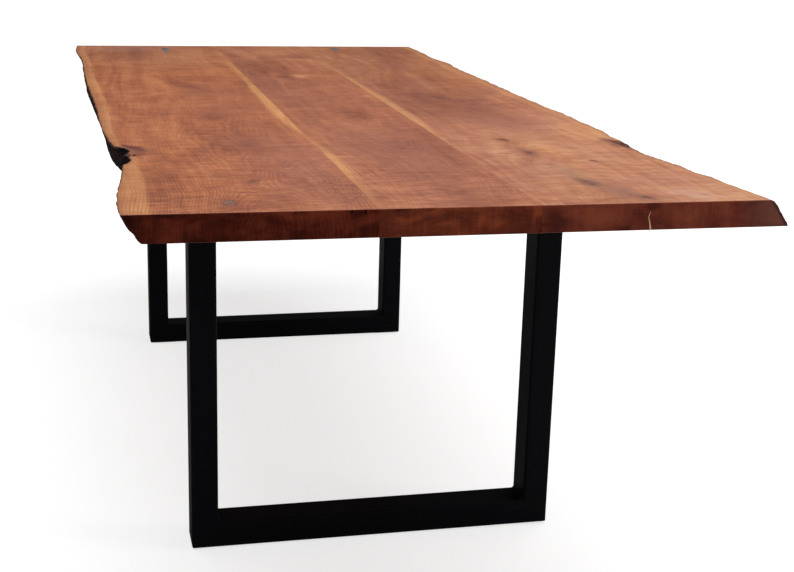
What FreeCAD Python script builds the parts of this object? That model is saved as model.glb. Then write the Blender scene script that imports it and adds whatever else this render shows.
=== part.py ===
# Live edge dining table: three slab boards glued edge to edge, carried on two U-shaped frames of steel tube.
# Frame: +X across the table, +Y along its length, +Z up.
# The origin is on the floor under the middle of the top.
# All lengths are in millimetres.

import FreeCAD, Part

import math
import os

V = FreeCAD.Vector

# Driving dimensions: the whole table
table_length = 2300.0
table_height = 760.0
cut_overrun = 20.0
same_direction = 1e-6

# Driving dimensions: the top
top_thickness = 44.0
left_board_width = 412.0
centre_board_width = 252.0
right_board_width = 414.0
end_round = 2.0

# Driving dimensions: the live edges. Each inset in the tables below is a share of the wander.
left_edge_wander = 40.0
right_edge_wander = 40.0
upper_depth_share = 0.35
lower_depth_share = 0.80

# Driving dimensions: bark pockets, hollows left where bark grew into the edge
left_pocket_length = 130.0
left_pocket_radius = 30.5
left_pocket_second_length = 141.0
left_pocket_second_radius = 29.5
left_pocket_spacing = 75.0
left_pocket_place = 507.0
left_pocket_inset = 42.0
right_pocket_length = 65.0
right_pocket_radius = 13.0
right_pocket_place = 540.0
right_pocket_inset = 70.0
pocket_lift_share = 0.15

# Driving dimensions: loose tenons across the two glue lines
tenon_thickness = 10.0
tenon_width = 60.0
tenon_length = 50.0
tenon_side_clearance = 0.2
tenon_end_clearance = 1.0
tenon_count = 9
tenon_end_margin = 130.0

# Driving dimensions: resin in knots, and the filled check in the near end
knot_fill_depth = 12.0
knot_size = 60.0
check_from_glue = 174.0
check_height = 30.0
check_width = 3.0
check_depth = 45.0

# Driving dimensions: the leg frames
leg_width = 705.0
leg_spacing = 1280.0
leg_offset = -14.0
tube_face = 50.0
tube_depth = 70.0
tube_wall = 3.0
tube_corner_radius = 5.0
ground_corner_radius = 6.0
plate_width = 100.0
plate_thickness = 8.0
weld_leg = 5.0
weld_crown_share = 0.42
pad_length = 60.0
pad_width = 45.0
pad_thickness = 3.0
pad_end_margin = 14.0

# Driving dimensions: what holds the frames to the top
screw_diameter = 8.0
screw_length = 38.0
screw_head_flats = 13.0
screw_head_height = 5.3
screw_column_spacing = 440.0
screw_row_spacing = 58.0
pilot_clearance = 0.1
pilot_spare_depth = 2.0
slot_width = 9.0
slot_length = 20.0
washer_diameter = 20.0
washer_thickness = 1.6
washer_clearance = 0.2

# Places worked out from the driving dimensions
table_width = left_board_width + centre_board_width + right_board_width
half_length = table_length / 2
half_width = table_width / 2
left_glue_x = -half_width + left_board_width
right_glue_x = half_width - right_board_width
top_underside = table_height - top_thickness
plate_underside = top_underside - plate_thickness
rail_underside = pad_thickness
leg_half_width = leg_width / 2
leg_places = {"near": -leg_spacing / 2, "far": leg_spacing / 2}

# Left live edge, from the near end to the far end: share of the length, then the insets of the upper arris,
# of the face a third of the way down and of the face near its foot
left_edge_shares = [
    (0.000, 0.92, 1.12, 1.47),
    (0.045, 0.93, 1.12, 1.45),
    (0.085, 1.11, 1.17, 1.42),
    (0.130, 1.33, 1.34, 1.45),
    (0.155, 1.40, 1.47, 1.60),
    (0.185, 1.42, 1.57, 1.68),
    (0.220, 1.36, 1.44, 1.58),
    (0.245, 1.28, 1.24, 1.40),
    (0.265, 1.16, 1.11, 1.25),
    (0.320, 0.87, 1.00, 1.15),
    (0.400, 0.81, 0.89, 1.06),
    (0.460, 0.81, 0.79, 0.94),
    (0.540, 0.69, 0.60, 0.76),
    (0.620, 0.56, 0.47, 0.66),
    (0.700, 0.48, 0.43, 0.66),
    (0.780, 0.44, 0.44, 0.68),
    (0.860, 0.28, 0.44, 0.66),
    (0.940, 0.00, 0.25, 0.48),
    (1.000, 0.14, 0.26, 0.46),
]

# Right live edge, in the same order. It leans out towards its foot.
right_edge_shares = [
    (0.000, 0.92, 0.46, 0.14),
    (0.030, 1.06, 0.60, 0.28),
    (0.063, 1.20, 0.74, 0.40),
    (0.100, 1.45, 0.98, 0.54),
    (0.138, 1.67, 1.20, 0.74),
    (0.180, 1.86, 1.38, 0.92),
    (0.212, 1.80, 1.34, 0.92),
    (0.242, 1.56, 1.20, 0.86),
    (0.259, 1.68, 1.22, 0.84),
    (0.290, 1.44, 1.08, 0.78),
    (0.330, 1.42, 1.04, 0.74),
    (0.380, 1.40, 0.99, 0.66),
    (0.430, 1.50, 1.04, 0.66),
    (0.500, 1.55, 1.10, 0.72),
    (0.580, 1.56, 1.13, 0.78),
    (0.660, 1.52, 1.13, 0.80),
    (0.740, 1.60, 1.18, 0.86),
    (0.785, 1.54, 1.15, 0.80),
    (0.815, 1.40, 1.05, 0.75),
    (0.845, 1.60, 1.16, 0.78),
    (0.880, 1.65, 1.20, 0.80),
    (0.940, 1.55, 1.12, 0.76),
    (1.000, 1.55, 1.12, 0.76),
]

# Resin fills: board, share of its width from the glue line, share of the length from the near end,
# then the knot's size across and along the table as shares of the knot size
knot_fill_shares = [
    ("left", 0.517, 0.0280, 0.34, 0.50),
    ("left", 0.379, 0.9590, 0.50, 1.70),
    ("right", 0.326, 0.0643, 0.45, 0.70),
    ("right", 0.2415, 0.9640, 0.50, 1.40),
]

# Run of the filled check, from its tip down: sideways shares of its height, then width shares
check_run_shares = [(0.00, 0.03, 0.15), (0.30, -0.06, 0.40), (0.55, 0.02, 0.55), (1.00, 0.10, 1.00)]


def live_edge_cutter(shares, wander, side):
    """The waste outside a live edge: a smooth face through the table's insets, drawn outwards."""
    rows = []
    near_most = (-cut_overrun / table_length,) + shares[0][1:]
    far_most = (1 + cut_overrun / table_length,) + shares[-1][1:]
    for along, top_inset, upper_inset, lower_inset in [near_most] + shares + [far_most]:
        y = -half_length + along * table_length
        upper_drop = upper_depth_share * top_thickness
        lower_drop = lower_depth_share * top_thickness
        step = lower_drop - upper_drop
        insets_and_heights = [
            ((2 * top_inset - upper_inset) * wander, table_height + upper_drop),
            (upper_inset * wander, table_height - upper_drop),
            (lower_inset * wander, table_height - lower_drop),
            ((2 * lower_inset - upper_inset) * wander, table_height - lower_drop - step),
        ]
        rows.append([V(side * (half_width - inset), y, z) for inset, z in insets_and_heights])
    face = Part.BSplineSurface()
    face.interpolate(rows)
    return face.toShape().extrude(V(side * (wander * len(rows)), 0, 0))


def bark_pocket(length, radius, place, inset, side):
    """A spindle-shaped hollow along the edge, with its axis a little above the top."""
    x = side * (half_width - inset)
    y = -half_length + place
    z = table_height + radius * pocket_lift_share
    tip_near = V(x, y - length / 2, z)
    tip_far = V(x, y + length / 2, z)
    belly = V(x, y, z + radius)
    bow = Part.Arc(tip_near, belly, tip_far).toShape()
    axis = Part.LineSegment(tip_far, tip_near).toShape()
    return Part.Face(Part.Wire([bow, axis])).revolve(tip_near, V(0, 1, 0), 360)


def edges_along(shape, direction):
    """The straight edges of a shape that run along a direction."""
    return [e for e in shape.Edges if e.tangentAt(e.FirstParameter).cross(direction).Length < same_direction]


def slab(x_low, x_high):
    """A sawn board with its end arrises eased."""
    board = Part.makeBox(x_high - x_low, table_length, top_thickness, V(x_low, -half_length, top_underside))
    return board.makeFillet(end_round, edges_along(board, V(1, 0, 0)))


def tenon_places():
    """Distances along Y of the loose tenons, even between the end margins."""
    first = -half_length + tenon_end_margin
    step = (table_length - 2 * tenon_end_margin) / (tenon_count - 1)
    return [first + step * i for i in range(tenon_count)]


def tenon_shape(x, y, width, length):
    """A flat loose tenon, lying across the glue line at x."""
    z = top_underside + (top_thickness - tenon_thickness) / 2
    return Part.makeBox(length, width, tenon_thickness, V(x - length / 2, y - width / 2, z))


def joint_tenons(x):
    return [tenon_shape(x, y, tenon_width, tenon_length) for y in tenon_places()]


def joint_mortises(x):
    width = tenon_width + 2 * tenon_side_clearance
    length = tenon_length + 2 * tenon_end_clearance
    return [tenon_shape(x, y, width, length) for y in tenon_places()]


def knot_fill_solids(board):
    """The resin plugs of one board, each a smooth closed outline sunk into the top."""
    plugs = []
    for name, glue_share, length_share, across_share, along_share in knot_fill_shares:
        if name != board:
            continue
        x = left_glue_x - glue_share * left_board_width
        if name == "right":
            x = right_glue_x + glue_share * right_board_width
        y = -half_length + length_share * table_length
        along, across = along_share * knot_size / 2, across_share * knot_size / 2
        outline = Part.Ellipse(V(0, 0, 0), along, across).toShape()
        outline.rotate(V(0, 0, 0), V(0, 0, 1), 90)
        outline.translate(V(x, y, table_height))
        plugs.append(Part.Face(Part.Wire([outline])).extrude(V(0, 0, -knot_fill_depth)))
    return plugs


def check_filler():
    """The sliver of filler in the check that runs up the near end of the right board."""
    left_side, right_side = [], []
    for down, sideways, width in check_run_shares:
        x = right_glue_x + check_from_glue + sideways * check_height
        z = top_underside + check_height * (1 - down)
        left_side.append(V(x - width * check_width / 2, -half_length, z))
        right_side.append(V(x + width * check_width / 2, -half_length, z))
    corners = left_side + right_side[::-1]
    return Part.Face(Part.makePolygon(corners + corners[:1])).extrude(V(0, check_depth, 0))


def screw_places(leg_y):
    """Centres of a leg frame's screws: a pair into the left board and a pair into the right one."""
    return [
        (leg_offset + column * screw_column_spacing / 2, leg_y + row * screw_row_spacing / 2)
        for column in (-1, 1)
        for row in (-1, 1)
    ]


def pilot_hole(x, y):
    """The hole that a screw is driven into, from below."""
    reach = screw_length - plate_thickness - washer_thickness + pilot_spare_depth
    return Part.makeCylinder(screw_diameter / 2 + pilot_clearance, reach, V(x, y, top_underside))


def washer(x, y):
    """A plain washer against the underside of a leg's plate."""
    base = V(x, y, plate_underside - washer_thickness)
    disc = Part.makeCylinder(washer_diameter / 2, washer_thickness, base)
    return disc.cut(Part.makeCylinder(screw_diameter / 2 + washer_clearance, washer_thickness, base))


def coach_screw(x, y):
    """A hexagon-head wood screw, driven up through washer and plate into a board."""
    seat = plate_underside - washer_thickness
    corner = screw_head_flats / math.sqrt(3)
    middle = V(x, y, seat - screw_head_height)
    turns = [math.pi * i / 3 for i in range(7)]
    ring = [middle + V(math.cos(turn), math.sin(turn), 0) * corner for turn in turns]
    head = Part.Face(Part.makePolygon(ring)).extrude(V(0, 0, screw_head_height))
    shank = Part.makeCylinder(screw_diameter / 2, screw_length, V(x, y, seat))
    return head.fuse(shank).removeSplitter()


def board_cutters(board, x_low, x_high):
    """Everything let into a board from inside the joints and from below."""
    cutters = []
    for glue_x in (left_glue_x, right_glue_x):
        if x_low <= glue_x <= x_high:
            cutters += joint_mortises(glue_x)
    for leg_y in leg_places.values():
        cutters += [pilot_hole(x, y) for x, y in screw_places(leg_y) if x_low < x < x_high]
    return cutters + knot_fill_solids(board)


def make_left_board():
    board = slab(-half_width - cut_overrun, left_glue_x)
    second = left_pocket_place - left_pocket_spacing
    cutters = board_cutters("left", -half_width, left_glue_x)
    cutters += [
        bark_pocket(left_pocket_length, left_pocket_radius, left_pocket_place, left_pocket_inset, -1),
        bark_pocket(left_pocket_second_length, left_pocket_second_radius, second, left_pocket_inset, -1),
    ]
    return board.cut(live_edge_cutter(left_edge_shares, left_edge_wander, -1)).cut(cutters)


def make_centre_board():
    return slab(left_glue_x, right_glue_x).cut(board_cutters("centre", left_glue_x, right_glue_x))


def make_right_board():
    board = slab(right_glue_x, half_width + cut_overrun)
    cutters = board_cutters("right", right_glue_x, half_width)
    cutters += [
        bark_pocket(right_pocket_length, right_pocket_radius, right_pocket_place, right_pocket_inset, 1),
        check_filler(),
    ]
    return board.cut(live_edge_cutter(right_edge_shares, right_edge_wander, 1)).cut(cutters)


def tube(size, corner, direction):
    """Rectangular tube along a direction, with rounded corners outside and a bore inside its walls."""
    inset = V(1, 1, 1) - direction
    bore_size = size - inset * (2 * tube_wall)
    bar = Part.makeBox(size.x, size.y, size.z, corner)
    bar = bar.makeFillet(tube_corner_radius, edges_along(bar, direction))
    return bar.cut(Part.makeBox(bore_size.x, bore_size.y, bore_size.z, corner + inset * tube_wall))


def corner_wedge(leg_y, side, above):
    """One half of the square at a bottom corner, split along the mitre: above it is cut off the foot rail,
    below it off the upright."""
    outer = leg_offset + side * leg_half_width
    inner = outer - side * tube_face
    y = leg_y - tube_depth
    low_outer = V(outer, y, rail_underside)
    high_inner = V(inner, y, rail_underside + tube_face)
    third = V(outer, y, rail_underside + tube_face) if above else V(inner, y, rail_underside)
    outline = Part.makePolygon([low_outer, high_inner, third, low_outer])
    return Part.Face(outline).extrude(V(0, 2 * tube_depth, 0))


def ground_corners(leg_y):
    """The frame's outer envelope, whose bottom corners are rounded where the mitre welds are ground off."""
    size = V(leg_width, tube_depth, table_height)
    corner = V(leg_offset - leg_half_width, leg_y - tube_depth / 2, rail_underside)
    box = Part.makeBox(size.x, size.y, size.z, corner)
    bottom_edges = [e for e in edges_along(box, V(0, 1, 0)) if e.Vertexes[0].Z < top_underside]
    return box.makeFillet(ground_corner_radius, bottom_edges)


def make_upright(leg_y, side):
    outer = leg_offset + side * leg_half_width
    corner = V(min(outer, outer - side * tube_face), leg_y - tube_depth / 2, rail_underside)
    post = tube(V(tube_face, tube_depth, plate_underside - rail_underside), corner, V(0, 0, 1))
    return post.cut(corner_wedge(leg_y, side, False)).common(ground_corners(leg_y))


def make_foot_rail(leg_y):
    corner = V(leg_offset - leg_half_width, leg_y - tube_depth / 2, rail_underside)
    rail = tube(V(leg_width, tube_depth, tube_face), corner, V(1, 0, 0))
    for side in (-1, 1):
        rail = rail.cut(corner_wedge(leg_y, side, True))
    return rail.common(ground_corners(leg_y))


def plate_slot(x, y):
    """A slot through a leg's plate, with round ends, running across the table."""
    straight = slot_length - slot_width
    corner = V(x - straight / 2, y - slot_width / 2, plate_underside)
    middle = Part.makeBox(straight, slot_width, plate_thickness, corner)
    ends = [
        Part.makeCylinder(slot_width / 2, plate_thickness, V(x + side * straight / 2, y, plate_underside))
        for side in (-1, 1)
    ]
    return middle.fuse(ends).removeSplitter()


def make_top_plate(leg_y):
    """Flat bar across both uprights, slotted across the table so that the top can swell and shrink."""
    corner = V(leg_offset - leg_half_width, leg_y - plate_width / 2, plate_underside)
    plate = Part.makeBox(leg_width, plate_width, plate_thickness, corner)
    return plate.cut([plate_slot(x, y) for x, y in screw_places(leg_y)])


def weld_bead(x, z, side, up, leg_y):
    """A fillet of weld metal in an inner corner, along the flat of the tube."""
    run = tube_depth - 2 * tube_corner_radius
    y = leg_y - run / 2
    root = V(x, y, z)
    along = V(x - side * weld_leg, y, z)
    rise = V(x, y, z + up * weld_leg)
    crown = root + V(-side * weld_leg, 0, up * weld_leg) * weld_crown_share
    outline = Part.Wire(
        [
            Part.LineSegment(root, along).toShape(),
            Part.Arc(along, crown, rise).toShape(),
            Part.LineSegment(rise, root).toShape(),
        ]
    )
    return Part.Face(outline).extrude(V(0, run, 0))


def weld_beads(leg_y):
    beads = []
    for side in (-1, 1):
        inner_face = leg_offset + side * (leg_half_width - tube_face)
        beads.append(weld_bead(inner_face, rail_underside + tube_face, side, 1, leg_y))
        beads.append(weld_bead(inner_face, plate_underside, side, -1, leg_y))
    return beads


def felt_pads(leg_y):
    pads = []
    for side in (-1, 1):
        outer = leg_offset + side * (leg_half_width - pad_end_margin)
        corner = V(min(outer, outer - side * pad_length), leg_y - pad_width / 2, 0)
        pads.append(Part.makeBox(pad_length, pad_width, pad_thickness, corner))
    return pads


def leg_nodes(name, leg_y):
    """Every piece of one leg frame, under its node name."""
    places = screw_places(leg_y)
    return {
        name + "_leg_left_upright": make_upright(leg_y, -1),
        name + "_leg_right_upright": make_upright(leg_y, 1),
        name + "_leg_foot_rail": make_foot_rail(leg_y),
        name + "_leg_top_plate": make_top_plate(leg_y),
        name + "_leg_weld_beads": Part.makeCompound(weld_beads(leg_y)),
        name + "_leg_felt_pads": Part.makeCompound(felt_pads(leg_y)),
        name + "_leg_screws": Part.makeCompound([coach_screw(x, y) for x, y in places]),
        name + "_leg_washers": Part.makeCompound([washer(x, y) for x, y in places]),
    }


def top_nodes():
    return {
        "left_board": make_left_board(),
        "centre_board": make_centre_board(),
        "right_board": make_right_board(),
        "left_joint_tenons": Part.makeCompound(joint_tenons(left_glue_x)),
        "right_joint_tenons": Part.makeCompound(joint_tenons(right_glue_x)),
        "knot_fills": Part.makeCompound(knot_fill_solids("left") + knot_fill_solids("right")),
        "end_check_filler": check_filler(),
    }


def main():
    os.makedirs("parts", exist_ok=True)
    nodes = top_nodes()
    for name, leg_y in leg_places.items():
        nodes.update(leg_nodes(name, leg_y))
    for name, shape in nodes.items():
        print(name, len(shape.Solids), "solids", "valid" if shape.isValid() else "not valid")
        shape.exportStep("parts/" + name + ".step")


main()
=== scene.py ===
# A live edge dining table: three oiled cherry boards on black steel U frames.
import math
import bpy
from mathutils import Matrix, Vector, noise
from mathutils.bvhtree import BVHTree


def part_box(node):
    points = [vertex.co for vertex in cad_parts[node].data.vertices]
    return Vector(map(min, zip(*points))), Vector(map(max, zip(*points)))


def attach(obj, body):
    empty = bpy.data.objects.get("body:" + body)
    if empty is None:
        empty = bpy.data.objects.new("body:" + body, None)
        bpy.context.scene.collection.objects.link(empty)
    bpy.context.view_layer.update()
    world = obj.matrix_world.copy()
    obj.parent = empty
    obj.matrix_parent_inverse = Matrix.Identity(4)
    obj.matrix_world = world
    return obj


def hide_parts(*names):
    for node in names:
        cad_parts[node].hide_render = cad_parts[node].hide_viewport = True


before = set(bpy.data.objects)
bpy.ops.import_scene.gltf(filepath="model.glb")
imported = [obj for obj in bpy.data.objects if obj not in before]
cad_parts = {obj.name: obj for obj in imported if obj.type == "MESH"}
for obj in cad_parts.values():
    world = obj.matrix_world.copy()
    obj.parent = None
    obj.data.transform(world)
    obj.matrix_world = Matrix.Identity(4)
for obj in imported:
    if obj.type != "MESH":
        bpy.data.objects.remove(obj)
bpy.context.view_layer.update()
print("stage: frame loaded")


def linear(red, green, blue):
    def one(c):
        c = c / 255.0
        return c / 12.92 if c <= 0.04045 else ((c + 0.055) / 1.055) ** 2.4
    return (one(red), one(green), one(blue), 1.0)


falloff = 2.718  # how fast a soft mark fades from its middle


class Sketch:
    # shorthand for wiring shader nodes
    def __init__(self, name):
        self.material = bpy.data.materials.new(name)
        self.material.use_nodes = True
        self.tree = self.material.node_tree
        self.shader = self.tree.nodes["Principled BSDF"]
        self.coords = self.tree.nodes.new("ShaderNodeTexCoord").outputs
        parts = self.tree.nodes.new("ShaderNodeSeparateXYZ")
        self.tree.links.new(self.coords["Object"], parts.inputs[0])
        self.x, self.y, self.z = parts.outputs
        self.markX, self.markY = self.x, self.y

    def put(self, socket, value):
        if isinstance(value, bpy.types.NodeSocket):
            self.tree.links.new(value, socket)
        elif value is not None:
            socket.default_value = value

    def math(self, kind, a, b=None, c=None):
        n = self.tree.nodes.new("ShaderNodeMath")
        n.operation = kind
        for socket, value in zip(n.inputs, (a, b, c)):
            self.put(socket, value)
        return n.outputs[0]

    def add(self, *terms):
        total = terms[0]
        for t in terms[1:]:
            total = self.math("ADD", total, t)
        return total

    def mul(self, *terms):
        total = terms[0]
        for t in terms[1:]:
            total = self.math("MULTIPLY", total, t)
        return total

    def less(self, a, b):
        return self.math("SUBTRACT", a, b)

    def vector(self, x, y, z):
        n = self.tree.nodes.new("ShaderNodeCombineXYZ")
        for socket, value in zip(n.inputs, (x, y, z)):
            self.put(socket, value)
        return n.outputs[0]

    def spaced(self, kx, ky, kz, shift=0.0):
        # object place, stretched by its own factor each way
        return self.vector(self.math("MULTIPLY_ADD", self.x, kx, shift), self.mul(self.y, ky), self.mul(self.z, kz))

    def noise(self, place, scale=1.0, detail=2.0, rough=0.5, twist=0.0):
        n = self.tree.nodes.new("ShaderNodeTexNoise")
        self.put(n.inputs["Vector"], place)
        for key, value in (("Scale", scale), ("Detail", detail), ("Roughness", rough), ("Distortion", twist)):
            self.put(n.inputs[key], value)
        return n.outputs[0]

    def step(self, value, low, high, outLow=0.0, outHigh=1.0):
        n = self.tree.nodes.new("ShaderNodeMapRange")
        n.interpolation_type = "SMOOTHSTEP"
        for socket, v in zip(n.inputs, (value, low, high, outLow, outHigh)):
            self.put(socket, v)
        return n.outputs[0]

    def curve(self, value, points):
        n = self.tree.nodes.new("ShaderNodeFloatCurve")
        line = n.mapping.curves[0]
        for i, (px, py) in enumerate(points):
            if i < 2:
                line.points[i].location = (px, py)
            else:
                line.points.new(px, py)
        n.mapping.update()
        self.put(n.inputs["Value"], value)
        return n.outputs[0]

    def ramp(self, value, stops):
        n = self.tree.nodes.new("ShaderNodeValToRGB")
        bar = n.color_ramp.elements
        while len(bar) < len(stops):
            bar.new(0.5)
        for e, (place, colour) in zip(bar, stops):
            e.position, e.color = place, colour if len(colour) == 4 else (*colour, 1.0)
        self.put(n.inputs[0], value)
        return n.outputs[0]

    def mix(self, amount, a, b, kind="MIX"):
        n = self.tree.nodes.new("ShaderNodeMix")
        n.data_type, n.blend_type = "RGBA", kind
        for socket, value in ((n.inputs[0], amount), (n.inputs[6], a), (n.inputs[7], b)):
            self.put(socket, value)
        return n.outputs[2]

    def blob(self, x, y, wide, long, turn=0.0, upright=None):
        # a soft round mark on the top, or on the end where z is given: 1 at its middle, 0 well outside
        dx, dy = self.less(self.markX, x), self.less(upright or self.markY, y)
        if turn:
            c, s = math.cos(turn), math.sin(turn)
            dx, dy = self.add(self.mul(dx, c), self.mul(dy, s)), self.less(self.mul(dy, c), self.mul(dx, s))
        far = self.add(self.math("POWER", self.math("ABSOLUTE", self.mul(dx, 1.0 / wide)), 2.0),
                       self.math("POWER", self.math("ABSOLUTE", self.mul(dy, 1.0 / long)), 2.0))
        return self.math("POWER", falloff, self.mul(far, -1.0))

    def attribute(self, name):
        n = self.tree.nodes.new("ShaderNodeAttribute")
        n.attribute_name = name
        return n.outputs["Fac"]

    def bump(self, height, strength, distance, under=None):
        n = self.tree.nodes.new("ShaderNodeBump")
        for key, value in (("Height", height), ("Strength", strength), ("Distance", distance), ("Normal", under)):
            self.put(n.inputs[key], value)
        return n.outputs[0]

    def finish(self, **values):
        for key, value in values.items():
            self.put(self.shader.inputs[key.replace("_", " ")], value)
        return self.material


# Oiled cherry: rings about a pith, bent round knots, with sapwood, streaks and stains, plus painted sheen, painted
# reflection and painted shade in the pockets
woodTones = {
    "sap": linear(210, 154, 100),
    "ring": linear(116, 58, 38),
    "knot": linear(70, 46, 46),
    # a deep red-brown laid round the pockets and by one stain
    "deepRedBrown": linear(96, 50, 45),
    "plum": linear(126, 74, 62),
    "ash": linear(136, 106, 94),
    # mauve: partly the wood's own colour, partly painted sheen, laid mostly on the near half of the top
    "mauveAndSheen": linear(158, 104, 90),
    "gold": linear(186, 118, 70),
    "tip": linear(118, 78, 67),
    "cave": linear(112, 66, 60),
    # painted reflection: a grey glint laid round the two far knots
    "paintedSkyGlint": linear(118, 108, 102),
    # painted sheen: pale pink laid on the top where the light's reflection and small highlights fall
    "paintedSheen": linear(204, 162, 146),
    "spalt": linear(92, 52, 42),
    "bark": linear(46, 25, 18),
    "barkLight": linear(88, 50, 34),
    # painted shade: near-black laid in pocket holes, bark crevices and end checks
    "gapShade": linear(7, 4, 4),
}
woodTints = {"golden": (1.04, 1.05, 0.78, 1.0), "rosy": (1.02, 0.90, 0.86, 1.0)}
woodHabits = {
    "tableLength": 2.3, "topHeight": 0.760,
    "shake": (0.030, 0.070),        # how far marks stray, across and along
    "bands": (75.0, 0.8),           # broad growth bands per metre of reach, and along
    "ringRagged": 1.1,
    "poreDark": 0.18,
    "farShare": {"chatter": 0.4, "wisps": 0.35, "rings": 0.40},  # what is left at the far end
    "sapUnit": 0.1,                 # sapwood widths are in decimetres
    "sapWaver": 0.018,
    "haloSize": (2.6, 2.4), "haloDark": 0.6,
    "endSoak": {"clouds": 1.5, "rays": 0.6, "ring": 0.10, "base": -0.55},
    "tickHalf": (0.0006, 0.0022), "tickFade": 0.003,
    "sheen": (0.17, -0.13),         # on the faces, and less on the ends
}

# Noise layers of the wood: turns per metre across, along and down, shift, then detail, roughness and twist
grain = {
    "shakeX": (24.0, 10.0, 24.0, 21.0, 3.0, 0.6, 0.0),
    "shakeY": (18.0, 14.0, 18.0, 25.0, 3.0, 0.6, 0.0),
    "ragged": (30.0, 3.0, 30.0, 0.0, 3.0, 0.5, 0.0),
    "broad": (6.5, 3.0, 6.5, 3.0, 5.0, 0.62, 1.2),
    "cross": (11.0, 40.0, 11.0, 5.0, 4.0, 0.65, 1.0),
    "streak": (64.0, 3.2, 64.0, 1.0, 4.0, 0.65, 0.6),
    "fibre": (320.0, 11.0, 320.0, 0.0, 3.0, 0.7, 0.0),
    "pores": (460.0, 16.0, 460.0, 17.0, 3.0, 0.7, 0.0),
    "chatter": (26.0, 92.0, 26.0, 29.0, 4.0, 0.7, 0.5),
    "golden": (7.0, 3.0, 7.0, 37.0, 4.0, 0.6, 1.0),
    "rosy": (11.0, 42.0, 11.0, 45.0, 5.0, 0.7, 0.8),
    "wisps": (9.0, 46.0, 9.0, 41.0, 5.0, 0.65, 0.8),
    "waver": (12.0, 5.0, 12.0, 9.0, 3.0, 0.5, 0.0),
    "seen": (9.0, 4.0, 9.0, 13.0, 2.0, 0.5, 0.0),
    "rays": (90.0, 3.0, 12.0, 2.0, 4.0, 0.65, 0.4),
    "clouds": (14.0, 3.0, 24.0, 6.0, 3.0, 0.6, 0.8),
    "spalt": (64.0, 30.0, 64.0, 2.0, 4.0, 0.7, 1.4),
    "barkPlates": (60.0, 14.0, 110.0, 4.0, 4.0, 0.65, 0.0),
}


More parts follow.
